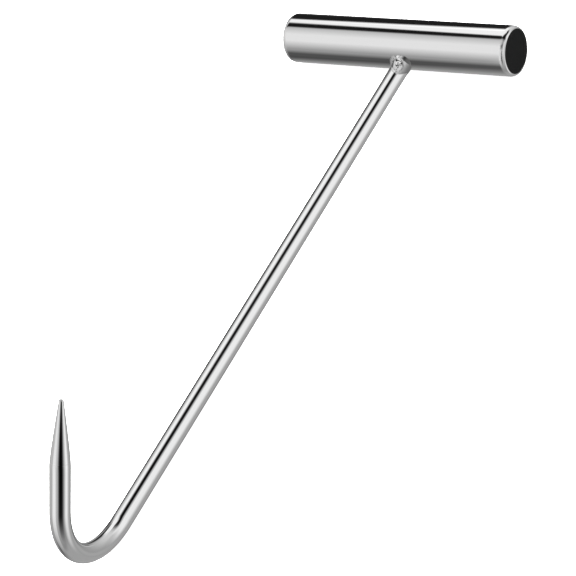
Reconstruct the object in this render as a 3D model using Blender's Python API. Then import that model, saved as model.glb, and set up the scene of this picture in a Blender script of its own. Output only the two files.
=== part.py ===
"""T-handled meat hook in stainless steel, lying as it is put down on a table, with its point up.

Every piece is modelled in the tool's own frame and hangs on one empty:
X runs along the handle, Y from the crook up to the handle, Z to the side the point is on,
and the origin is where the shank's axis crosses the handle's axis.
The empty then lays the tool down on z = 0, with the middle of its footprint at the origin.
All lengths are in metres and all angles in radians unless a name says otherwise.
"""

import math

import bmesh
import bpy
from mathutils import Matrix, Vector

# Handle: a tube whose two ends are rolled in over a plastic plug.
HANDLE_RADIUS = 0.011
HANDLE_WALL = 0.0012
HANDLE_RIGHT = 0.0505  # from the shank's axis to the end at +X
HANDLE_LEFT = 0.0625  # from the shank's axis to the end at -X
LIP_LENGTH = 0.0024  # along the tube, where the wall rolls in
LIP_DROP = 0.0013  # how far it rolls in

# Hook: one bar, straight, bent in a crook, then ground to a point.
ROD_RADIUS = 0.004
SHANK_LENGTH = 0.2695  # from the handle's axis to where the crook begins
CROOK_RADIUS = 0.0310  # of the bar's axis
CROOK_ANGLE = math.radians(115.0)
CROOK_TWIST = math.radians(12.0)  # how far the crook's plane leans from square to the handle
LEG_LENGTH = 0.0465  # from the end of the crook to the tip
TAPER_LENGTH = 0.0270
TIP_RADIUS = 0.00095
TIP_ROUND = 0.0005  # length of the tip's rounded end
TIP_OFFSET = 0.00045  # sideways, because the point is ground by hand

# Butt weld between the two. The bar's end is bevelled, and the weld fills the bevel.
WELD_BEVEL = 0.0014
WELD_WIDTH = 0.0022  # past the bar's side, where the weld meets the handle
WELD_DEPTH = 0.0064  # down the bar, below the handle's wall

# End plugs.
PLUG_LENGTH = 0.011
PLUG_FACE = 0.0025  # thickness of the plug's outer face
PLUG_SKIRT_WALL = 0.0015
PLUG_RIBS = 2
RIB_HEIGHT = 0.0005

GAP = 0.0003  # kept between pieces that touch

HANDLE_SIDES = 64
PLUG_SIDES = 40
ROD_SIDES = 24
WELD_SIDES = 36

BORE_RADIUS = HANDLE_RADIUS - HANDLE_WALL
LIP_RADIUS = HANDLE_RADIUS - LIP_DROP
# The tool rests on the handle's side and on the outside of the crook.
LIE_ANGLE = math.asin((HANDLE_RADIUS - ROD_RADIUS) / SHANK_LENGTH)
CROOK_SIDE = Vector((math.sin(CROOK_TWIST), 0.0, math.cos(CROOK_TWIST)))
DOWN_SHANK = Vector((0.0, -1.0, 0.0))


def clear_scene():
    for obj in list(bpy.data.objects):
        bpy.data.objects.remove(obj, do_unlink=True)


def make_material(name, colour, metallic, roughness):
    material = bpy.data.materials.new(name)
    material.use_nodes = True
    shader = material.node_tree.nodes["Principled BSDF"]
    shader.inputs["Base Color"].default_value = (*colour, 1.0)
    shader.inputs["Metallic"].default_value = metallic
    shader.inputs["Roughness"].default_value = roughness
    return material


def add_object(name, data, frame, material):
    obj = bpy.data.objects.new(name, data)
    bpy.context.scene.collection.objects.link(obj)
    obj.parent = frame
    data.materials.append(material)
    return obj


def turned_mesh(name, profile, axis, sides):
    """A solid of revolution. The profile's points are (distance along the axis, radius)."""
    side = Vector((0.0, 0.0, 1.0))
    shape = bmesh.new()
    ring = [shape.verts.new(axis * along + side * radius) for along, radius in profile]
    edges = [shape.edges.new((ring[i], ring[i + 1])) for i in range(len(ring) - 1)]
    if profile[0][1] > 0.0:
        edges.append(shape.edges.new((ring[-1], ring[0])))
    bmesh.ops.spin(
        shape,
        geom=ring + edges,
        cent=(0.0, 0.0, 0.0),
        axis=axis,
        angle=2.0 * math.pi,
        steps=sides,
        use_merge=True,
    )
    bmesh.ops.remove_doubles(shape, verts=shape.verts, dist=1e-6)
    bmesh.ops.recalc_face_normals(shape, faces=shape.faces)
    mesh = bpy.data.meshes.new(name)
    shape.to_mesh(mesh)
    shape.free()
    mesh.shade_smooth()
    mesh.set_sharp_from_angle(angle=math.radians(30.0))
    return mesh


def cut_with_cylinder(obj, name, radius, reach, frame):
    """Hollows obj with a round groove along X, about the handle's axis."""
    shape = bmesh.new()
    bmesh.ops.create_cone(
        shape,
        cap_ends=True,
        segments=2 * HANDLE_SIDES,
        radius1=radius,
        radius2=radius,
        depth=2.0 * reach,
        matrix=Matrix.Rotation(math.radians(90.0), 4, "Y"),
    )
    mesh = bpy.data.meshes.new(name)
    shape.to_mesh(mesh)
    shape.free()
    cutter = bpy.data.objects.new(name, mesh)
    bpy.context.scene.collection.objects.link(cutter)
    cutter.parent = frame
    cutter.hide_render = True
    cutter.display_type = "WIRE"
    cut = obj.modifiers.new(name, "BOOLEAN")
    cut.operation = "DIFFERENCE"
    cut.solver = "EXACT"
    cut.object = cutter


def lip_curve(steps):
    """The tube's outside from its full radius to its open end: (distance from the end, radius)."""
    points = []
    for i in range(steps + 1):
        angle = math.pi / 2.0 * i / steps
        inset = LIP_LENGTH * (1.0 - math.sin(angle))
        points.append((inset, LIP_RADIUS + LIP_DROP * math.cos(angle)))
    return points


def make_handle_tube(frame, steel):
    lip = lip_curve(6)
    # Inside, the lip is a short straight land, and then it opens out to the bore.
    land = 0.0010
    inside = [(land, LIP_RADIUS), (land + 0.0008, BORE_RADIUS)]
    right = [(HANDLE_RIGHT - inset, radius) for inset, radius in lip + inside]
    left = [(inset - HANDLE_LEFT, radius) for inset, radius in reversed(lip + inside)]
    along_x = Vector((1.0, 0.0, 0.0))
    mesh = turned_mesh("handle_tube", right + left, along_x, HANDLE_SIDES)
    add_object("handle_tube", mesh, frame, steel)


def make_end_plug(name, end, outward, frame, plastic):
    """A moulded cup: a flat face inside the rolled lip, and a ribbed skirt that grips the bore."""
    head = LIP_RADIUS - GAP
    rib = BORE_RADIUS - GAP
    core = rib - RIB_HEIGHT
    edge = 0.0002
    profile = [(0.0, 0.0), (0.0, head - edge), (edge, head), (0.0013, head), (0.0022, rib)]
    pitch = (PLUG_LENGTH - 0.0022) / PLUG_RIBS
    for i in range(PLUG_RIBS):
        start = 0.0022 + pitch * i
        profile.append((start + 0.35 * pitch, rib))
        profile.append((start + 0.50 * pitch, core))
        profile.append((start + 0.85 * pitch, core))
        if i < PLUG_RIBS - 1:
            profile.append((start + pitch, rib))
    inner = core - PLUG_SKIRT_WALL
    profile += [(PLUG_LENGTH, core), (PLUG_LENGTH, inner), (PLUG_FACE, inner), (PLUG_FACE, 0.0)]
    mesh = turned_mesh(name, [(end - inset, radius) for inset, radius in profile], outward, PLUG_SIDES)
    add_object(name, mesh, frame, plastic)


def rod_stations():
    """The bar's axis from the handle's wall to the tip: (point, radius) at each station."""
    bevel_start = HANDLE_RADIUS + GAP
    bevel_end = bevel_start + WELD_BEVEL
    stations = [(DOWN_SHANK * bevel_start, ROD_RADIUS - WELD_BEVEL)]
    shank_steps = 6
    for i in range(shank_steps):
        along = bevel_end + (SHANK_LENGTH - bevel_end) * i / shank_steps
        stations.append((DOWN_SHANK * along, ROD_RADIUS))
    centre = DOWN_SHANK * SHANK_LENGTH + CROOK_SIDE * CROOK_RADIUS
    bend_steps = 30
    for i in range(bend_steps + 1):
        angle = CROOK_ANGLE * i / bend_steps
        spoke = DOWN_SHANK * math.sin(angle) - CROOK_SIDE * math.cos(angle)
        stations.append((centre + spoke * CROOK_RADIUS, ROD_RADIUS))
    heading = DOWN_SHANK * math.cos(CROOK_ANGLE) + CROOK_SIDE * math.sin(CROOK_ANGLE)
    taper_start = stations[-1][0] + heading * (LEG_LENGTH - TAPER_LENGTH)
    sideways = heading.cross(DOWN_SHANK).normalized()
    taper_steps = 6
    for i in range(taper_steps + 1):
        share = i / taper_steps
        place = heading * share * (TAPER_LENGTH - TIP_ROUND) + sideways * share * TIP_OFFSET
        radius = ROD_RADIUS - (ROD_RADIUS - TIP_RADIUS) * share
        stations.append((taper_start + place, radius))
    # The last of the bar is rounded off, so that the tip isn't a flat disc.
    tip = stations[-1][0]
    for share in (0.6, 1.0):
        radius = TIP_RADIUS * math.sqrt(1.0 - 0.9 * share**2)
        stations.append((tip + heading * share * TIP_ROUND, radius))
    return stations


def make_hook_rod(frame, steel):
    curve = bpy.data.curves.new("hook_rod", "CURVE")
    curve.dimensions = "3D"
    curve.bevel_depth = ROD_RADIUS
    curve.bevel_resolution = ROD_SIDES // 2 - 2
    curve.use_fill_caps = True
    stations = rod_stations()
    spline = curve.splines.new("POLY")
    spline.points.add(len(stations) - 1)
    spline.use_smooth = True
    for point, (place, radius) in zip(spline.points, stations):
        point.co = (*place, 1.0)
        point.radius = radius / ROD_RADIUS
    add_object("hook_rod", curve, frame, steel)


def make_weld_bead(frame, weld_steel):
    """A ring of weld round the bar's bevelled end, hollowed on its upper side to fit the handle."""
    root = ROD_RADIUS - WELD_BEVEL + 1.4 * GAP
    inner = ROD_RADIUS + GAP
    outer = ROD_RADIUS + WELD_WIDTH
    toe = inner + 0.0003
    top = 0.7 * HANDLE_RADIUS
    bevel_start = HANDLE_RADIUS + GAP
    bevel_end = bevel_start + WELD_BEVEL
    shoulder = HANDLE_RADIUS + 0.0003
    foot = HANDLE_RADIUS + WELD_DEPTH
    profile = [(top, root), (bevel_start, root), (bevel_end, inner), (foot, inner)]
    steps = 6
    for i in range(steps + 1):
        angle = math.pi / 2.0 * i / steps
        along = foot - (foot - shoulder) * math.sin(angle)
        profile.append((along, outer - (outer - toe) * math.cos(angle)))
    profile.append((top, outer))
    mesh = turned_mesh("weld_bead", profile, DOWN_SHANK, WELD_SIDES)
    bead = add_object("weld_bead", mesh, frame, weld_steel)
    cut_with_cylinder(bead, "handle_seat_cutter", HANDLE_RADIUS + GAP, 2.0 * outer, frame)


def make_tool_frame():
    """Lays the tool down: the handle's side and the crook touch z = 0, centred on the origin."""
    frame = bpy.data.objects.new("tool_frame", None)
    bpy.context.scene.collection.objects.link(frame)
    frame.rotation_euler = (LIE_ANGLE, 0.0, 0.0)
    crook_centre = Matrix.Rotation(LIE_ANGLE, 3, "X") @ (
        DOWN_SHANK * SHANK_LENGTH + CROOK_SIDE * CROOK_RADIUS
    )
    lowest_y = crook_centre.y - CROOK_RADIUS - ROD_RADIUS
    frame.location = (
        (HANDLE_LEFT - HANDLE_RIGHT) / 2.0,
        -(lowest_y + HANDLE_RADIUS) / 2.0,
        HANDLE_RADIUS,
    )
    return frame


def main():
    clear_scene()
    frame = make_tool_frame()
    steel = make_material("polished_stainless", (0.74, 0.74, 0.75), 1.0, 0.12)
    rod_steel = make_material("drawn_stainless_bar", (0.72, 0.72, 0.73), 1.0, 0.16)
    weld_steel = make_material("stainless_weld", (0.55, 0.55, 0.56), 1.0, 0.32)
    plastic = make_material("black_plastic", (0.014, 0.014, 0.014), 0.0, 0.55)
    make_handle_tube(frame, steel)
    make_hook_rod(frame, rod_steel)
    make_weld_bead(frame, weld_steel)
    along_x = Vector((1.0, 0.0, 0.0))
    make_end_plug("end_plug_right", HANDLE_RIGHT, along_x, frame, plastic)
    make_end_plug("end_plug_left", HANDLE_LEFT, -along_x, frame, plastic)


main()
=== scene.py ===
"""T-handled meat hook: the looks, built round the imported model.

The bar's few driving sizes are repeated here, so that the smooth pieces follow the same
line as the solids that they stand for. All lengths are in metres.
"""

import math

import bpy
import numpy as np
from mathutils import Matrix, Vector, noise


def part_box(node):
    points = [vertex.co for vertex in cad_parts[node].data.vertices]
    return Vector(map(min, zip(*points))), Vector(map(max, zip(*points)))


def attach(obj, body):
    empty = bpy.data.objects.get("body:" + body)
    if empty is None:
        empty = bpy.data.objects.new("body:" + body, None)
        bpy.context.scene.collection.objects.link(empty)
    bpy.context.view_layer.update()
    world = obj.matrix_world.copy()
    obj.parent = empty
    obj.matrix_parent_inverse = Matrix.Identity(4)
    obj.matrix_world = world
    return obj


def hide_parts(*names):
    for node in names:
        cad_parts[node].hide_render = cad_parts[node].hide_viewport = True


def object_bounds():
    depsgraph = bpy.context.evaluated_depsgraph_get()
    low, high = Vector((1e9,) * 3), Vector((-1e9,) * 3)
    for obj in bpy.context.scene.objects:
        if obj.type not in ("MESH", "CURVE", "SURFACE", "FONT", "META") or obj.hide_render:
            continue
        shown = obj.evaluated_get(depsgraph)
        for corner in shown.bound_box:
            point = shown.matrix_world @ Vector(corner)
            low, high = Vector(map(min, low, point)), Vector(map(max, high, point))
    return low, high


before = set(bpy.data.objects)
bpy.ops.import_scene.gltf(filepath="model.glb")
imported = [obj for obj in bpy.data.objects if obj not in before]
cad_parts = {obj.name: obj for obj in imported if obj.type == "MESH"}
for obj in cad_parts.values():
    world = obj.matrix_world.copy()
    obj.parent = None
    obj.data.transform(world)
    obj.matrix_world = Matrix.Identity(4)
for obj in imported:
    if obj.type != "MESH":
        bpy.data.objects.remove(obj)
cad_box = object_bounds()

# ---------------------------------------------------------------- sizes

ROD_RADIUS = 0.004
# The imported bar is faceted. A round bar stays inside its box when its radius is 8 microns less
# and its leg 30 microns shorter.
BAR_RADIUS = 0.003992
SHANK_LENGTH = 0.2695
CROOK_RADIUS = 0.0310
CROOK_ANGLE = math.radians(115.0)
CROOK_TWIST = math.radians(12.0)
LEG_LENGTH = 0.04647
TAPER_LENGTH = 0.0270
TAPER_CROWN = 1.17
# The faint ring where the grinding ends: its place and half width as shares of the cone.
GROOVE_AT = 0.062
GROOVE_HALF = 0.0048
GROOVE_DEPTH = 0.000035
TIP_RADIUS = 0.00095
TIP_ROUND = 0.0005
TIP_OFFSET = 0.00045
BAR_SEAM = 0.140
BAR_START = 0.0151
LIP_LENGTH = 0.0024
LIP_DROP = 0.0013
LIP_LAND = 0.0010
LIP_BEVEL = 0.0008
HANDLE_WALL = 0.0012
PLUG_LENGTH = 0.004
PLUG_SHOULDER = 0.00035
PLUG_CLEARANCE = 0.00004
PLUG_FLANGE = 0.00034
PLUG_EDGE = 0.00012
PLUG_DISH = 0.00004
PLUG_SINK = 0.00005

handle_low, handle_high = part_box("handle_tube")
weld_low, weld_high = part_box("weld_bead")
HANDLE_RADIUS = (handle_high.z - handle_low.z) / 2.0
LIP_RADIUS = HANDLE_RADIUS - LIP_DROP
BORE_RADIUS = HANDLE_RADIUS - HANDLE_WALL
SHANK_X = (weld_low.x + weld_high.x) / 2.0
HANDLE_RIGHT = handle_high.x - SHANK_X
HANDLE_LEFT = SHANK_X - handle_low.x
LIE_ANGLE = math.asin((HANDLE_RADIUS - ROD_RADIUS) / SHANK_LENGTH)

# The tool's own frame: X along the handle, Y from the crook up to the handle, origin where
# the shank's axis crosses the handle's. LAY puts it down on the floor.
LAY = Matrix.Translation(
    (SHANK_X, (handle_low.y + handle_high.y) / 2.0, handle_low.z + HANDLE_RADIUS)
) @ Matrix.Rotation(LIE_ANGLE, 4, "X")

ALONG_HANDLE = np.array((1.0, 0.0, 0.0))
DOWN_SHANK = np.array((0.0, -1.0, 0.0))
CROOK_SIDE = np.array((math.sin(CROOK_TWIST), 0.0, math.cos(CROOK_TWIST)))


# ---------------------------------------------------------------- camera

# These eight values come from a fit of the camera to the tool's outlines in the photo.
CAMERA_AIM = Vector((0.02489, -0.00623, 0.01705))
CAMERA_AZIMUTH = math.radians(44.99)
CAMERA_ELEVATION = math.radians(39.23)
CAMERA_ROLL = math.radians(-25.21)
CAMERA_DISTANCE = 1.06288
CAMERA_LENS = 166.53


def make_camera():
    """A long lens, rolled so that the tool lies across the picture's diagonal."""
    data = bpy.data.cameras.new("camera")
    data.lens = CAMERA_LENS
    data.sensor_width = 36.0
    data.clip_start = 0.05
    data.clip_end = 50.0
    camera = bpy.data.objects.new("camera", data)
    bpy.context.scene.collection.objects.link(camera)
    level = math.cos(CAMERA_ELEVATION)
    back = Vector(
        (
            math.sin(CAMERA_AZIMUTH) * level,
            -math.cos(CAMERA_AZIMUTH) * level,
            math.sin(CAMERA_ELEVATION),
        )
    )
    right = Vector((0.0, 0.0, 1.0)).cross(back).normalized()
    up = back.cross(right)
    turned_right = right * math.cos(CAMERA_ROLL) + up * math.sin(CAMERA_ROLL)
    turned_up = back.cross(turned_right)
    axes = Matrix((turned_right, turned_up, back)).transposed().to_4x4()
    camera.matrix_world = Matrix.Translation(CAMERA_AIM + back * CAMERA_DISTANCE) @ axes
    bpy.context.scene.camera = camera


# ---------------------------------------------------------------- mesh helpers


def smooth_mesh(name, points, faces, sharp_degrees=35.0):
    mesh = bpy.data.meshes.new(name)
    mesh.from_pydata([tuple(p) for p in points], [], faces)
    mesh.validate()
    mesh.transform(LAY)
    mesh.shade_smooth()
    mesh.set_sharp_from_angle(angle=math.radians(sharp_degrees))
    obj = bpy.data.objects.new(name, mesh)
    bpy.context.scene.collection.objects.link(obj)
    return obj


def rings_to_faces(rings, sides, closed_loop=False):
    """Quads between neighbouring rings of points. A closed loop also joins the last to the first."""
    faces = []
    last = rings if closed_loop else rings - 1
    for i in range(last):
        a = i * sides
        b = (i + 1) % rings * sides
        for j in range(sides):
            k = (j + 1) % sides
            faces.append((a + j, a + k, b + k, b + j))
    return faces


def end_caps(rings, sides):
    """The faces that close the first ring and the last one."""
    return [tuple(reversed(range(sides))), tuple(range((rings - 1) * sides, rings * sides))]


def turned(name, profile, axis, sides, closed_loop):
    """A turned piece. The profile's points are (distance along the axis, radius)."""
    side = np.array((0.0, 0.0, 1.0))
    other = np.cross(axis, side)
    turn = 2.0 * math.pi * np.arange(sides) / sides
    spokes = np.outer(np.cos(turn), side) + np.outer(np.sin(turn), other)
    points = np.concatenate([axis * along + spokes * radius for along, radius in profile])
    faces = rings_to_faces(len(profile), sides, closed_loop)
    if not closed_loop:
        faces += end_caps(len(profile), sides)
    return smooth_mesh(name, points, faces)


# ---------------------------------------------------------------- pieces


def lip_profile(steps):
    """The handle's end from its full radius to the open end and back to the bore."""
    points = []
    for i in range(steps + 1):
        angle = math.pi / 2.0 * i / steps
        inset = LIP_LENGTH * (1.0 - math.sin(angle))
        points.append((inset, LIP_RADIUS + LIP_DROP * math.cos(angle)))
    points.append((LIP_LAND, LIP_RADIUS))
    points.append((LIP_LAND + LIP_BEVEL, BORE_RADIUS))
    return points


def make_handle_tube():
    lip = lip_profile(24)
    left = [(inset - HANDLE_LEFT, radius) for inset, radius in reversed(lip)]
    right = [(HANDLE_RIGHT - inset, radius) for inset, radius in lip]
    return turned("handle_skin", left + right, ALONG_HANDLE, 192, True)


def make_end_plug(name, end, outward):
    """A plug with a rounded flange that covers the lip's crest. Its face is dished slightly."""
    stem = LIP_RADIUS - PLUG_CLEARANCE
    face = LIP_RADIUS + PLUG_FLANGE
    edge = PLUG_EDGE
    profile = [(PLUG_LENGTH, stem), (PLUG_SHOULDER, stem), (edge, face)]
    steps = 6
    for i in range(1, steps + 1):
        angle = math.pi / 2.0 * i / steps
        profile.append((edge * (1.0 - math.sin(angle)), face - edge * (1.0 - math.cos(angle))))
    profile += [(PLUG_DISH / 2.0, 0.7 * face), (PLUG_DISH, 0.3 * face), (PLUG_DISH, 0.05 * face)]
    along = [(end - inset - PLUG_SINK, radius) for inset, radius in profile]
    return turned(name, along, outward, 128, False)


def rod_stations():
    """The bar's axis from the weld to the tip: points, their radii and the way it heads."""
    points, radii = [], []
    shank_steps = 120
    for i in range(shank_steps):
        along = BAR_START + (SHANK_LENGTH - BAR_START) * i / shank_steps
        points.append(DOWN_SHANK * along)
        radii.append(BAR_RADIUS)
    centre = DOWN_SHANK * SHANK_LENGTH + CROOK_SIDE * CROOK_RADIUS
    bend_steps = 140
    for i in range(bend_steps + 1):
        angle = CROOK_ANGLE * i / bend_steps
        spoke = DOWN_SHANK * math.sin(angle) - CROOK_SIDE * math.cos(angle)
        points.append(centre + spoke * CROOK_RADIUS)
        radii.append(BAR_RADIUS)
    heading = DOWN_SHANK * math.cos(CROOK_ANGLE) + CROOK_SIDE * math.sin(CROOK_ANGLE)
    leg_start = points[-1]
    straight = LEG_LENGTH - TAPER_LENGTH
    leg_steps = 12
    for i in range(1, leg_steps):
        points.append(leg_start + heading * straight * i / leg_steps)
        radii.append(BAR_RADIUS)
    sideways = np.cross(heading, DOWN_SHANK)
    sideways /= np.linalg.norm(sideways)
    taper_start = leg_start + heading * straight
    taper_steps = 40
    shares = [i / taper_steps for i in range(taper_steps + 1)]
    shares += [GROOVE_AT - GROOVE_HALF, GROOVE_AT, GROOVE_AT + GROOVE_HALF]
    for share in sorted(shares):
        place = heading * share * (TAPER_LENGTH - TIP_ROUND) + sideways * share * TIP_OFFSET
        points.append(taper_start + place)
        groove = GROOVE_DEPTH if share == GROOVE_AT else 0.0
        radii.append(BAR_RADIUS - (BAR_RADIUS - TIP_RADIUS) * share**TAPER_CROWN - groove)
    tip = points[-1]
    for share in (0.4, 0.7, 0.9, 1.0):
        points.append(tip + heading * share * TIP_ROUND)
        radii.append(TIP_RADIUS * math.sqrt(1.0 - 0.9 * share**2))
    return np.array(points), np.array(radii)


def make_hook_bar():
    """The bar in two pieces that meet on one ring: the shank's upper part, and the rest."""
    points, radii = rod_stations()
    heads = np.gradient(points, axis=0)
    heads /= np.linalg.norm(heads, axis=1)[:, None]
    across = np.cross(CROOK_SIDE, DOWN_SHANK)
    sides = 96
    turn = 2.0 * math.pi * np.arange(sides) / sides
    rings = []
    for point, radius, head in zip(points, radii, heads):
        side = across - head * (across @ head)
        side /= np.linalg.norm(side)
        other = np.cross(head, side)
        spokes = np.outer(np.cos(turn), side) + np.outer(np.sin(turn), other)
        rings.append(point + spokes * radius)
    seam = int(np.argmin(np.abs(points[:, 1] + BAR_SEAM)))
    pieces = []
    for name, part in (("hook_shank", rings[: seam + 1]), ("hook_crook", rings[seam:])):
        faces = rings_to_faces(len(part), sides) + end_caps(len(part), sides)
        pieces.append(smooth_mesh(name, np.concatenate(part), faces))
    return pieces


# ---------------------------------------------------------------- weld

WELD_TOE = 0.0156
WELD_TONGUE = 0.0062
WELD_TONGUE_AT = 61.0
WELD_TONGUE_HALF = 62.0
WELD_RIM = 0.0131
WELD_RIM_DROP = 0.0009
WELD_RIM_DROP_AT = 38.0
WELD_RIM_DROP_HALF = 26.0
WELD_RIM_HEIGHT = 0.0005
WELD_NECK = 0.0033
WELD_SHEATH = 0.00022
WELD_COVER = 0.00004
WELD_ROOT = 0.0028
WELD_TOE_SLOPE = 0.0011
WELD_BLEND = 0.0006
WELD_LUMPS = 0.00010
WELD_TUCK = 0.00012
CRATER_AT = 74.0
CRATER_HALF = 50.0
CRATER_SWELL = 0.00016
FILLET_SPREAD = 0.0045
FILLET_AT = 196.0
FILLET_HALF = 64.0
FILLET_DEPTH = 0.0064
BACK_SPREAD = 0.0016
BACK_AT = 275.0
BACK_HALF = 50.0

# The crater's lines, in degrees round the bar and millimetres below the handle's axis, with
# how far each point stands out in millimetres. They were placed on an enlarged view of
# the weld. The loop is shaped like an egg, narrow end down.
CRATER_LOOP = (
    (101.0, 13.9, 0.42), (90.0, 13.5, 0.46), (78.0, 13.7, 0.42), (66.0, 14.4, 0.36),
    (55.0, 15.2, 0.34), (47.0, 16.2, 0.38), (43.0, 17.4, 0.42), (44.0, 18.9, 0.46),
    (49.0, 20.3, 0.42), (58.0, 21.2, 0.28), (69.0, 20.9, 0.36), (80.0, 19.8, 0.46),
    (89.0, 18.3, 0.50), (96.0, 16.7, 0.48), (102.0, 15.2, 0.44), (101.0, 13.9, 0.42),
)
CRATER_CRESCENT = (
    (78.0, 16.3, 0.14), (66.0, 16.5, 0.34), (57.0, 17.4, 0.40), (58.0, 18.8, 0.30),
    (64.0, 19.6, 0.20),
)
# Pits: degrees round the bar, then millimetres below the handle's axis, across and deep.
WELD_PITS = (
    (72.0, 18.1, 0.60, 0.30), (82.0, 15.2, 0.95, 0.30), (141.0, 12.2, 0.60, 0.26),
    (160.0, 14.4, 0.80, 0.12),
)
LINE_WIDTH = 0.00042


def turn_from(theta, centre):
    """How far an angle in degrees is from a centre, between -180 and 180."""
    return (theta - centre + 180.0) % 360.0 - 180.0


def swell(value, half, power=2):
    return np.exp(-np.abs(value / half) ** power)


def smooth_step(share):
    share = np.clip(share, 0.0, 1.0)
    return share * share * (3.0 - 2.0 * share)


def weld_spread(theta):
    """How far the weld runs out over the handle, measured from the bar's axis."""
    front = FILLET_SPREAD * swell(turn_from(theta, FILLET_AT), FILLET_HALF, 2.6)
    back = BACK_SPREAD * swell(turn_from(theta, BACK_AT), BACK_HALF, 4)
    return WELD_ROOT + np.maximum(front, back)


def weld_toe(theta):
    """How far down the bar the weld ends."""
    return WELD_TOE + WELD_TONGUE * swell(turn_from(theta, WELD_TONGUE_AT), WELD_TONGUE_HALF, 2.5)


def weld_rim(theta):
    """Where the weld's full thickness starts: lower down the bar right of the crater."""
    return WELD_RIM + WELD_RIM_DROP * swell(turn_from(theta, WELD_RIM_DROP_AT), WELD_RIM_DROP_HALF)


def rounded(line, rounds=2):
    """The same line of points with its corners cut."""
    line = np.array(line)
    for _ in range(rounds):
        near = 0.75 * line[:-1] + 0.25 * line[1:]
        far = 0.25 * line[:-1] + 0.75 * line[1:]
        inner = np.column_stack((near, far)).reshape(-1, 3)
        line = np.concatenate((line[:1], inner, line[-1:]))
    return line


def on_bar(theta, depth):
    """A place on the weld as lengths round and down the bar."""
    return np.radians(turn_from(theta, CRATER_AT)) * (ROD_RADIUS + WELD_SHEATH), depth


def line_relief(theta, depth, line, width):
    """A rounded ridge along a line of points, as high as its nearest point says."""
    across, down = on_bar(theta, depth)
    best = np.full(across.shape, 1.0)
    height = np.zeros(across.shape)
    points = rounded(line)
    for (t0, d0, h0), (t1, d1, h1) in zip(points, points[1:]):
        x0, y0 = on_bar(t0, d0 * 0.001)
        x1, y1 = on_bar(t1, d1 * 0.001)
        squared = (x1 - x0) ** 2 + (y1 - y0) ** 2
        run = ((across - x0) * (x1 - x0) + (down - y0) * (y1 - y0)) / squared
        run = np.clip(run, 0.0, 1.0)
        off = np.hypot(across - x0 - run * (x1 - x0), down - y0 - run * (y1 - y0))
        nearer = off < best
        best = np.where(nearer, off, best)
        height = np.where(nearer, (h0 + run * (h1 - h0)) * 0.001, height)
    return height * swell(best, width)


def pit_relief(theta, depth, pits):
    """Round dents with soft edges."""
    across, down = on_bar(theta, depth)
    total = np.zeros(across.shape)
    for at, below, half, sunk in pits:
        x, y = on_bar(at, below * 0.001)
        total = total - sunk * 0.001 * swell(np.hypot(across - x, down - y), half * 0.001)
    return total


def weld_radius(theta, depth, root):
    """The weld's outer radius round the bar, at a depth below the handle's axis."""
    toe_share = smooth_step((weld_toe(theta) - depth) / WELD_TOE_SLOPE)
    rim = weld_rim(theta)
    below = smooth_step((depth - rim + WELD_RIM_HEIGHT) / WELD_RIM_HEIGHT)
    crater = swell(turn_from(theta, CRATER_AT), CRATER_HALF, 4)
    thick = (WELD_SHEATH + CRATER_SWELL * crater) * toe_share
    sheath = WELD_NECK + (ROD_RADIUS + thick - WELD_NECK) * below
    share = np.clip((depth - root) / FILLET_DEPTH, 0.0, 1.0)
    fillet = WELD_ROOT + (weld_spread(theta) - WELD_ROOT) * (1.0 - share**1.1)
    blend = np.clip(0.5 + 0.5 * (fillet - sheath) / WELD_BLEND, 0.0, 1.0)
    radius = sheath * (1.0 - blend) + fillet * blend + WELD_BLEND * blend * (1.0 - blend)
    relief = line_relief(theta, depth, CRATER_LOOP, LINE_WIDTH)
    relief = np.maximum(relief, line_relief(theta, depth, CRATER_CRESCENT, LINE_WIDTH * 0.8))
    relief = relief + pit_relief(theta, depth, WELD_PITS)
    radius = radius + relief * toe_share
    least = ROD_RADIUS + WELD_COVER
    return np.where((depth > rim) & (toe_share > 0.0), np.maximum(radius, least), radius)


def weld_lumps(turn, depth):
    """Small random lumps, coarse and fine."""
    lumps = []
    for t, d in zip(turn, depth):
        place = Vector((math.cos(t) * 4.2, d * 1000.0, math.sin(t) * 4.2))
        lumps.append(noise.noise(place * 0.9) + 0.45 * noise.noise(place * 2.3))
    return np.array(lumps)


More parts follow.
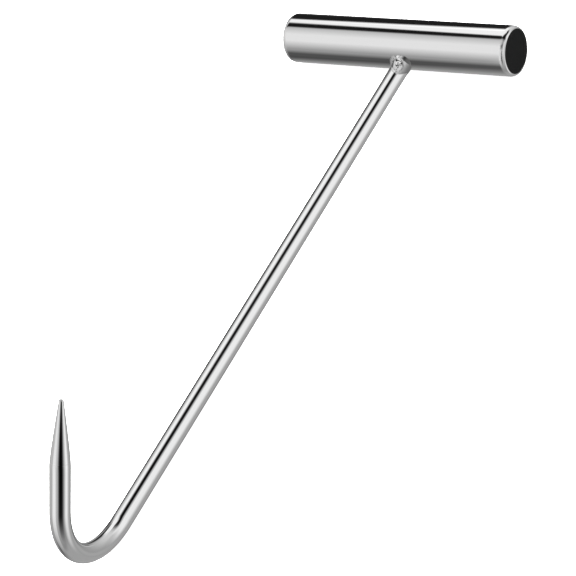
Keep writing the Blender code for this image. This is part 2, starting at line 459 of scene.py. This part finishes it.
def make_weld():
    """A lopsided fillet that runs down the bar in a tongue and ends in a crater."""
    sides, steps = 360, 150
    theta = 360.0 * np.arange(sides) / sides
    turn = np.radians(theta)
    root = np.sqrt(HANDLE_RADIUS**2 - (weld_spread(theta) * np.sin(turn)) ** 2)
    toe = weld_toe(theta)
    rough_side = 0.15 + 0.85 * swell(turn_from(theta, 165.0), 60.0, 4)
    rings = []
    for i in range(steps + 1):
        share = i / steps
        depth = root + (toe - root) * share
        radius = weld_radius(theta, depth, root)
        ends = smooth_step((1.0 - share) / 0.12) * smooth_step(share / 0.08)
        radius = radius + WELD_LUMPS * weld_lumps(turn, depth) * rough_side * ends
        if i == steps:
            radius = np.full(sides, ROD_RADIUS - WELD_TUCK)
        rings.append(np.column_stack((radius * np.cos(turn), -depth, radius * np.sin(turn))))
    # One more ring at each end goes into the handle and into the bar, out of sight.
    inner = rings[0] * (0.75, 1.0, 0.75)
    inner[:, 1] += 0.0012
    rings.insert(0, inner)
    last = rings[-1] * (0.85, 1.0, 0.85)
    last[:, 1] += 0.0006
    rings.append(last)
    faces = rings_to_faces(len(rings), sides) + end_caps(len(rings), sides)
    weld = smooth_mesh("weld_crater", np.concatenate(rings), faces, 60.0)
    # Satin where the arc didn't polish the metal, and painted shade in the recess under the rim: a
    # darker base colour there.
    depth = -np.array([ring[:, 1] for ring in rings])
    right, left = swell(turn_from(theta, 4.0), 42.0, 4), swell(turn_from(theta, 226.0), 80.0, 4)
    above_rim = smooth_step((weld_rim(theta) - 0.0001 - depth) / 0.0004)
    facing_right = swell(turn_from(theta, 0.0), 90.0, 8)
    satin = np.maximum(0.95 * right + 0.8 * left, above_rim * facing_right)
    painted_recess_shade = 0.8 * above_rim * swell(turn_from(theta, 45.0), 42.0, 4)
    for name, values in (("satin", satin), ("painted_recess_shade", painted_recess_shade)):
        layer = weld.data.attributes.new(name, "FLOAT", "POINT")
        layer.data.foreach_set("value", values.ravel())
    return weld


# ---------------------------------------------------------------- studio

# The steel's base colour. Lights are divided by it, so that the steel shows their greys.
STEEL_GREY = 0.72

# The lighting plan: what the steel mirrors. Its values, and the leans, floor, sky, horizon, cards
# and panels below, come from a fit of reflections to the photo's brightness, thinned out and
# rounded. The names are labels: the real lamps aren't known.
# Round the handle's and the shank's directions stand lamps (bright), flags (black) and plain
# walls, each with the degrees where it starts and ends and its grey from 0 to 255, or more for
# a lamp brighter than white. Between two neighbours the light changes evenly.
HANDLE_LIGHTS = (
    ("foreground_near", -130, -125, 70),
    ("floor_bounce", -80, -40, 150),
    ("back_flag", -12, 30, 20),
    ("strip_lamp", 43, 45, 270),
    ("narrow_flag", 68, 83, 20),
    ("softbox_rim", 90, 90, 185),
    ("softbox", 120, 150, 225),
    ("low_wall", 190, 195, 150),
    ("foreground", 215, 230, 75),
)
SHANK_LIGHTS = (
    ("left_wall", -130, -105, 150),
    ("edge_flag", -95, -95, 10),
    ("left_fill", -80, -40, 160),
    ("side_softbox", -5, 40, 235),
    ("black_flag", 65, 100, 5),
    ("strip_lamp", 105, 125, 290),
    ("top_fill", 126, 145, 205),
    ("dark_room", 165, 208, 80),
    ("right_wall", 210, 230, 160),
)
LIGHTS_START = -130.0
# Where a plan holds: the cosine between the direction and the piece's axis, and how far off it
# fades. The lean turns a plan by degrees per unit of that cosine, up to a reach on each side.
HANDLE_MIDDLE, HANDLE_WIDTH, HANDLE_LEAN, HANDLE_REACH = -0.525, 0.05, 190, 0.10
SHANK_MIDDLE, SHANK_WIDTH, SHANK_LEAN, SHANK_REACH = 0.53, 0.06, 45, 0.15
# The handle's lights lean fully up to the first angle and not at all past the second.
HANDLE_LEAN_FADES = (26.0, 66.0)
# The same plan also holds weakly on the axis's other side.
MIRRORED_WIDTH, MIRRORED_STRENGTH = 0.1, 0.02
FLOOR_GREY, SKY_GREY = 130, 220
FLOOR_PULL, SKY_PULL = 4000, 0.01
HORIZON, HORIZON_SOFTNESS = -0.1, 2.0

# Softboxes far off: name, azimuth, elevation and roll in degrees, half width and half height
# as tangents, softness across and up, and grey.
CARDS = (
    ("crook_softbox", 0, -40, 15, 0.25, 0.15, 0.5, 2.0, 290),
    ("upper_softbox", 120, 50, -75, 0.25, 0.3, 0.3, 0.1, 240),
    ("floor_card", -25, -89, 55, 0.4, 0.5, 0.3, 0.3, 155),
)
# A white board and a black flag near the crook, which the handle sees elsewhere: the same
# values, with the distance from the crook before them.
CROOK = (0.017, -0.148, 0.056)
NEAR_PANELS = (
    ("point_board", 0.26, -120, -4, -5, 0.3, 0.6, 0.15, 2.3, 240),
    ("crook_flag", 0.14, -50, 10, -15, 0.5, 1.5, 0.6, 2.0, 5),
)


def linear(grey):
    """A display grey from 0 to 255, as light."""
    grey = grey / 255.0
    return grey / 12.92 if grey <= 0.04045 else ((grey + 0.055) / 1.055) ** 2.4


def card_axes(azimuth, elevation, roll):
    """A card's own axes for angles in degrees: across it, up it, and the way to it."""
    azimuth, elevation, turn = math.radians(azimuth), math.radians(elevation), math.radians(roll)
    flat = math.cos(elevation)
    face = Vector((flat * math.cos(azimuth), flat * math.sin(azimuth), math.sin(elevation)))
    level = Vector((0.0, 0.0, 1.0)).cross(face).normalized()
    upright = face.cross(level)
    across = level * math.cos(turn) + upright * math.sin(turn)
    up = upright * math.cos(turn) - level * math.sin(turn)
    return across, up, face


class Tree:
    """Short calls for building a node tree."""

    def __init__(self, owner):
        owner.use_nodes = True
        self.tree = owner.node_tree
        self.tree.nodes.clear()

    def node(self, kind, **settings):
        node = self.tree.nodes.new(kind)
        for key, value in settings.items():
            setattr(node, key, value)
        return node

    def feed(self, socket, value):
        if isinstance(value, bpy.types.NodeSocket):
            self.tree.links.new(value, socket)
        else:
            socket.default_value = value

    def math(self, operation, a, b=0.0, clamp=False):
        node = self.node("ShaderNodeMath", operation=operation, use_clamp=clamp)
        self.feed(node.inputs[0], a)
        self.feed(node.inputs[1], b)
        return node.outputs[0]

    def dot(self, a, vector):
        node = self.node("ShaderNodeVectorMath", operation="DOT_PRODUCT")
        self.feed(node.inputs[0], a)
        self.feed(node.inputs[1], vector)
        return node.outputs["Value"]

    def ramp(self, value, low, high, out_low=0.0, out_high=1.0, kind="SMOOTHSTEP"):
        node = self.node("ShaderNodeMapRange", interpolation_type=kind)
        for name, part in (
            ("Value", value),
            ("From Min", low),
            ("From Max", high),
            ("To Min", out_low),
            ("To Max", out_high),
        ):
            self.feed(node.inputs[name], part)
        return node.outputs["Result"]

    def wrap(self, value, low, high):
        node = self.node("ShaderNodeMath", operation="WRAP")
        self.feed(node.inputs[0], value)
        self.feed(node.inputs[1], high)
        self.feed(node.inputs[2], low)
        return node.outputs[0]

    def nearness(self, value, width, strength):
        """Strong where the value is within the width of 0, falling with the fourth power."""
        fourth = self.math("POWER", self.math("ABSOLUTE", value), 4.0)
        return self.math("DIVIDE", strength, self.math("ADD", fourth, width**4))

    def stops(self, place, stops):
        """A ramp of light. A ramp holds 1 at the most, so it is scaled down and up again."""
        top = max(light for _, light in stops)
        node = self.node("ShaderNodeValToRGB")
        elements = node.color_ramp.elements
        while len(elements) < len(stops):
            elements.new(0.5)
        for element, (position, light) in zip(elements, stops):
            element.position = position
            element.color = (light / top, light / top, light / top, 1.0)
        self.feed(node.inputs["Fac"], place)
        return self.math("MULTIPLY", node.outputs["Color"], top)

    def noise(self, place, scale, detail):
        node = self.node("ShaderNodeTexNoise")
        for name, value in (("Vector", place), ("Scale", scale), ("Detail", detail)):
            self.feed(node.inputs[name], value)
        return node.outputs["Fac"]

    def bump(self, height, strength, distance):
        node = self.node("ShaderNodeBump")
        for name, value in (("Height", height), ("Strength", strength), ("Distance", distance)):
            self.feed(node.inputs[name], value)
        return node.outputs["Normal"]

    def mix(self, share, a, b):
        node = self.node("ShaderNodeMix", data_type="FLOAT")
        self.feed(node.inputs[0], share)
        self.feed(node.inputs[2], a)
        self.feed(node.inputs[3], b)
        return node.outputs[0]


def card_share(
    tree, direction, azimuth, elevation, roll, half_width, half_height, soft_x, soft_y
):
    """How much of a softbox is seen in a direction, from 0 to 1."""
    across, up, face = card_axes(azimuth, elevation, roll)
    least = 0.02
    ahead = tree.dot(direction, face)
    reach = tree.math("MAXIMUM", ahead, least)
    share = tree.math("GREATER_THAN", ahead, least)
    for axis, half, soft in ((across, half_width, soft_x), (up, half_height, soft_y)):
        out = tree.math("ABSOLUTE", tree.math("DIVIDE", tree.dot(direction, axis), reach))
        edge = tree.ramp(out, half + soft / 2.0, half - soft / 2.0)
        share = tree.math("MULTIPLY", share, edge)
    return share


def strip_lights(tree, direction, axes, lights, middle, width, lean, reach, lean_fades):
    """Light by the angle round the first axis, and how strongly it holds in a direction."""
    axis, first, second = axes
    start, end = LIGHTS_START, LIGHTS_START + 360.0
    along = tree.dot(direction, axis)
    angle = tree.math("ARCTAN2", tree.dot(direction, second), tree.dot(direction, first))
    angle = tree.wrap(angle, math.radians(start), math.radians(end))
    off = tree.math("SUBTRACT", along, middle)
    held = tree.math("MINIMUM", tree.math("MAXIMUM", off, -reach), reach)
    shift = tree.math("MULTIPLY", held, math.radians(lean))
    if lean_fades:
        near, far = lean_fades
        share = tree.ramp(angle, math.radians(far), math.radians(near))
        shift = tree.math("MULTIPLY", shift, share)
    angle = tree.math("ADD", angle, shift)
    place = tree.ramp(angle, math.radians(start), math.radians(end), kind="LINEAR")
    edges = [(edge, grey) for _, low, high, grey in lights for edge in sorted({low, high})]
    light = tree.stops(place, [((edge - start) / 360.0, linear(grey)) for edge, grey in edges])
    hold = tree.nearness(off, width, 1.0)
    off = tree.math("ADD", along, middle)
    mirrored = tree.nearness(off, MIRRORED_WIDTH, MIRRORED_STRENGTH)
    return light, tree.math("ADD", hold, mirrored)


def make_studio():
    """Strip lights, softboxes and flags all round, far off. The camera itself sees plain white."""
    world = bpy.data.worlds.new("studio")
    bpy.context.scene.world = world
    tree = Tree(world)
    direction = tree.node("ShaderNodeTexCoord").outputs["Generated"]
    height = tree.dot(direction, (0.0, 0.0, 1.0))
    half = HORIZON_SOFTNESS / 2.0
    below = tree.ramp(height, HORIZON + half, HORIZON - half)
    base = tree.mix(below, linear(SKY_GREY), linear(FLOOR_GREY))
    pull = tree.mix(below, SKY_PULL, FLOOR_PULL)
    total = tree.math("MULTIPLY", base, pull)
    turn = LAY.to_3x3()
    x_axis, y_axis, z_axis = (turn @ Vector(axis) for axis in ((1, 0, 0), (0, 1, 0), (0, 0, 1)))
    handle_axes, shank_axes = (x_axis, y_axis, z_axis), (y_axis, x_axis, z_axis)
    handle_place = (HANDLE_MIDDLE, HANDLE_WIDTH, HANDLE_LEAN, HANDLE_REACH, HANDLE_LEAN_FADES)
    shank_place = (SHANK_MIDDLE, SHANK_WIDTH, SHANK_LEAN, SHANK_REACH, None)
    for axes, lights, place in (
        (handle_axes, HANDLE_LIGHTS, handle_place),
        (shank_axes, SHANK_LIGHTS, shank_place),
    ):
        light, hold = strip_lights(tree, direction, axes, lights, *place)
        total = tree.math("ADD", total, tree.math("MULTIPLY", light, hold))
        pull = tree.math("ADD", pull, hold)
    light = tree.math("DIVIDE", total, pull)
    for _, *shape, grey in CARDS:
        light = tree.mix(card_share(tree, direction, *shape), light, linear(grey))
    light = tree.math("DIVIDE", light, STEEL_GREY)
    seen = tree.node("ShaderNodeLightPath").outputs["Is Camera Ray"]
    light = tree.mix(seen, light, 1.0)
    background = tree.node("ShaderNodeBackground")
    tree.feed(background.inputs["Color"], light)
    tree.feed(tree.node("ShaderNodeOutputWorld").inputs["Surface"], background.outputs[0])


def make_near_panel(
    name, distance, azimuth, elevation, roll, half_width, half_height, soft_x, soft_y, grey
):
    """A board or flag beside the crook, with soft edges, which only glossy surfaces see."""
    across, up, face = card_axes(azimuth, elevation, roll)
    reach_x = distance * (half_width + soft_x / 2.0)
    reach_y = distance * (half_height + soft_y / 2.0)
    corners = [(x * reach_x, y * reach_y, 0.0) for x, y in ((-1, -1), (1, -1), (1, 1), (-1, 1))]
    mesh = bpy.data.meshes.new(name)
    mesh.from_pydata(corners, [], [(0, 1, 2, 3)])
    panel = bpy.data.objects.new(name, mesh)
    bpy.context.scene.collection.objects.link(panel)
    axes = Matrix((across, up, face)).transposed().to_4x4()
    panel.matrix_world = Matrix.Translation(Vector(CROOK) + face * distance) @ axes
    for ray in ("camera", "diffuse", "shadow", "transmission"):
        setattr(panel, "visible_" + ray, False)
    material = bpy.data.materials.new(name)
    tree = Tree(material)
    place = tree.node("ShaderNodeTexCoord").outputs["Object"]
    share = 1.0
    for axis, half, soft in (((1, 0, 0), half_width, soft_x), ((0, 1, 0), half_height, soft_y)):
        out = tree.math("ABSOLUTE", tree.dot(place, axis))
        edge = tree.ramp(out, distance * (half + soft / 2.0), distance * (half - soft / 2.0))
        share = tree.math("MULTIPLY", edge, share)
    glow = tree.node("ShaderNodeEmission")
    glow.inputs["Strength"].default_value = linear(grey) / STEEL_GREY
    mixed = tree.node("ShaderNodeMixShader")
    tree.feed(mixed.inputs[0], share)
    tree.feed(mixed.inputs[1], tree.node("ShaderNodeBsdfTransparent").outputs[0])
    tree.feed(mixed.inputs[2], glow.outputs[0])
    tree.feed(tree.node("ShaderNodeOutputMaterial").inputs["Surface"], mixed.outputs[0])
    mesh.materials.append(material)


FLOOR_SIZE = 6.0
FLOOR_GAP = 0.0003
FLOOR_GLOW = 0.8
LAMP_SIZE = 2.4
LAMP_POWER = 150.0
LAMP_HEIGHT = 1.8


def make_stage():
    """A pale floor, and a soft lamp overhead that only it and the plastic see."""
    low, _ = cad_box
    half = FLOOR_SIZE / 2.0
    below = low.z - FLOOR_GAP
    mesh = bpy.data.meshes.new("floor")
    corners = [(x * half, y * half, below) for x, y in ((-1, -1), (1, -1), (1, 1), (-1, 1))]
    mesh.from_pydata(corners, [], [(0, 1, 2, 3)])
    floor = bpy.data.objects.new("floor", mesh)
    bpy.context.scene.collection.objects.link(floor)
    floor.visible_glossy = False
    material = bpy.data.materials.new("floor_paper")
    tree = Tree(material)
    shader = tree.node("ShaderNodeBsdfPrincipled")
    shader.inputs["Base Color"].default_value = (0.9, 0.9, 0.9, 1.0)
    shader.inputs["Roughness"].default_value = 0.9
    shader.inputs["Emission Color"].default_value = (1.0, 1.0, 1.0, 1.0)
    shader.inputs["Emission Strength"].default_value = FLOOR_GLOW
    tree.feed(tree.node("ShaderNodeOutputMaterial").inputs["Surface"], shader.outputs[0])
    mesh.materials.append(material)
    data = bpy.data.lights.new("overhead", "AREA")
    data.shape = "SQUARE"
    data.size = LAMP_SIZE
    data.energy = LAMP_POWER
    lamp = bpy.data.objects.new("overhead", data)
    lamp.location = (0.0, 0.0, LAMP_HEIGHT)
    lamp.visible_glossy = False
    bpy.context.scene.collection.objects.link(lamp)


# ---------------------------------------------------------------- finishes


# How much rougher the rolled lips are, and the distances in from the end, or down from the
# top, over which that fades.
LIP_ROUGHNESS = 0.16
LIP_ROLL_FADES = (0.0020, 0.0028)
LIP_CREST_FADES = (0.0001, 0.0004)
LIP_TOP_FADES = (0.0007, 0.0017)
# Noise scales are per metre. Bumps are in metres.
LINES_SCALE, LINES_BUMP = 2600.0, 0.00002
CLOUDS_SCALE = 90.0
WELD_GRAIN_SCALE, WELD_GRAIN_BUMP = 900.0, 0.00002
PLASTIC_GRAIN_SCALE, PLASTIC_GRAIN_BUMP = 2500.0, 0.00003
PLASTIC_GREY = 0.0035


def lip_roughness(tree, place):
    """The handle's rolled lips are a little rougher, apart from their crest and their top side."""
    split = tree.node("ShaderNodeSeparateXYZ")
    tree.feed(split.inputs[0], place)
    inward = tree.math("SUBTRACT", handle_high.x, tree.math("ABSOLUTE", split.outputs["X"]))
    rolled = tree.ramp(inward, *LIP_ROLL_FADES, 1.0, 0.0)
    crest = tree.ramp(inward, *LIP_CREST_FADES)
    below = tree.math("SUBTRACT", handle_high.z, split.outputs["Z"])
    side = tree.ramp(below, *LIP_TOP_FADES)
    share = tree.math("MULTIPLY", side, tree.math("MULTIPLY", rolled, crest))
    return tree.math("MULTIPLY", LIP_ROUGHNESS, share)


def steel_material(name, grey, roughness, scratch_axis, scratch_strength, bump, lips=False):
    """Polished steel: a roughness that wanders a little, and fine lines along one axis."""
    material = bpy.data.materials.new(name)
    tree = Tree(material)
    place = tree.node("ShaderNodeTexCoord").outputs["Object"]
    mapping = tree.node("ShaderNodeMapping")
    tree.feed(mapping.inputs["Vector"], place)
    scale = [1.0, 1.0, 1.0]
    scale[scratch_axis] = 0.02
    mapping.inputs["Scale"].default_value = scale
    lines = tree.noise(mapping.outputs["Vector"], LINES_SCALE, 3.0)
    clouds = tree.noise(place, CLOUDS_SCALE, 4.0)
    rough = tree.ramp(clouds, 0.3, 0.7, roughness * 0.75, roughness * 1.3, "LINEAR")
    rough = tree.math("ADD", rough, tree.math("MULTIPLY", lines, scratch_strength))
    if lips:
        rough = tree.math("ADD", rough, lip_roughness(tree, place))
    shader = tree.node("ShaderNodeBsdfPrincipled")
    shader.inputs["Metallic"].default_value = 1.0
    shader.inputs["Base Color"].default_value = (grey, grey, grey, 1.0)
    tree.feed(shader.inputs["Roughness"], rough)
    tree.feed(shader.inputs["Normal"], tree.bump(lines, bump, LINES_BUMP))
    tree.feed(tree.node("ShaderNodeOutputMaterial").inputs["Surface"], shader.outputs[0])
    return material


def weld_material(name):
    """Weld metal: bright where the arc left it smooth, satin and darker on its flanks."""
    material = bpy.data.materials.new(name)
    tree = Tree(material)
    satin = tree.node("ShaderNodeAttribute", attribute_name="satin").outputs["Fac"]
    place = tree.node("ShaderNodeTexCoord").outputs["Object"]
    grain = tree.noise(place, WELD_GRAIN_SCALE, 4.0)
    painted_recess_shade = tree.node("ShaderNodeAttribute", attribute_name="painted_recess_shade").outputs["Fac"]
    grey = tree.mix(satin, STEEL_GREY * 1.05, STEEL_GREY * 0.42)
    # Painted shade: the recess under the weld's rim is darkened in the base colour.
    grey = tree.mix(painted_recess_shade, grey, STEEL_GREY * 0.12)
    grey = tree.math("MULTIPLY", grey, tree.ramp(grain, 0.3, 0.7, 0.90, 1.05, "LINEAR"))
    rough = tree.mix(satin, 0.10, 0.36)
    rough = tree.math("ADD", rough, tree.math("MULTIPLY", grain, 0.06))
    shader = tree.node("ShaderNodeBsdfPrincipled")
    shader.inputs["Metallic"].default_value = 1.0
    tree.feed(shader.inputs["Base Color"], grey)
    tree.feed(shader.inputs["Roughness"], rough)
    tree.feed(shader.inputs["Normal"], tree.bump(grain, 0.3, WELD_GRAIN_BUMP))
    tree.feed(tree.node("ShaderNodeOutputMaterial").inputs["Surface"], shader.outputs[0])
    return material


def plastic_material(name):
    """Black moulded plastic, matt, with a fine grain."""
    material = bpy.data.materials.new(name)
    tree = Tree(material)
    place = tree.node("ShaderNodeTexCoord").outputs["Object"]
    grain = tree.noise(place, PLASTIC_GRAIN_SCALE, 2.0)
    shader = tree.node("ShaderNodeBsdfPrincipled")
    shader.inputs["Base Color"].default_value = (PLASTIC_GREY, PLASTIC_GREY, PLASTIC_GREY, 1.0)
    shader.inputs["Specular IOR Level"].default_value = 0.05
    rough = tree.ramp(grain, 0.3, 0.7, 0.45, 0.62, "LINEAR")
    tree.feed(shader.inputs["Roughness"], rough)
    tree.feed(shader.inputs["Normal"], tree.bump(grain, 0.25, PLASTIC_GRAIN_BUMP))
    tree.feed(tree.node("ShaderNodeOutputMaterial").inputs["Surface"], shader.outputs[0])
    return material


def finish_piece(piece, node, material):
    piece.data.materials.append(material)
    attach(piece, "root")
    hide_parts(node)


def main():
    make_camera()
    bpy.context.scene.view_settings.view_transform = "Standard"
    make_studio()
    for panel in NEAR_PANELS:
        make_near_panel(*panel)
    make_stage()
    tube_steel = steel_material("polished_tube", STEEL_GREY, 0.045, 0, 0.02, 0.06, lips=True)
    bar_steel = steel_material("drawn_bar", STEEL_GREY, 0.045, 1, 0.02, 0.05)
    weld_steel = weld_material("weld_metal")
    plastic = plastic_material("black_plastic")
    handle = make_handle_tube()
    shank, crook = make_hook_bar()
    weld = make_weld()
    plug_right = make_end_plug("plug_face_right", HANDLE_RIGHT, ALONG_HANDLE)
    plug_left = make_end_plug("plug_face_left", HANDLE_LEFT, -ALONG_HANDLE)
    for piece, node, slot, material in (
        (handle, "handle_tube", "handle_steel", tube_steel),
        (shank, "hook_rod", "rod_steel", bar_steel),
        (crook, "hook_rod", "rod_steel", bar_steel),
        (weld, "weld_bead", "weld_steel", weld_steel),
        (plug_right, "end_plug_right", "black_plastic", plastic),
        (plug_left, "end_plug_left", "black_plastic", plastic),
    ):
        finish_piece(piece, node, material)
    # Only the crook shows in reflections, as the photo's handle mirrors neither bar nor weld.
    for piece in (handle, shank, weld, plug_right, plug_left):
        piece.visible_glossy = False


main()
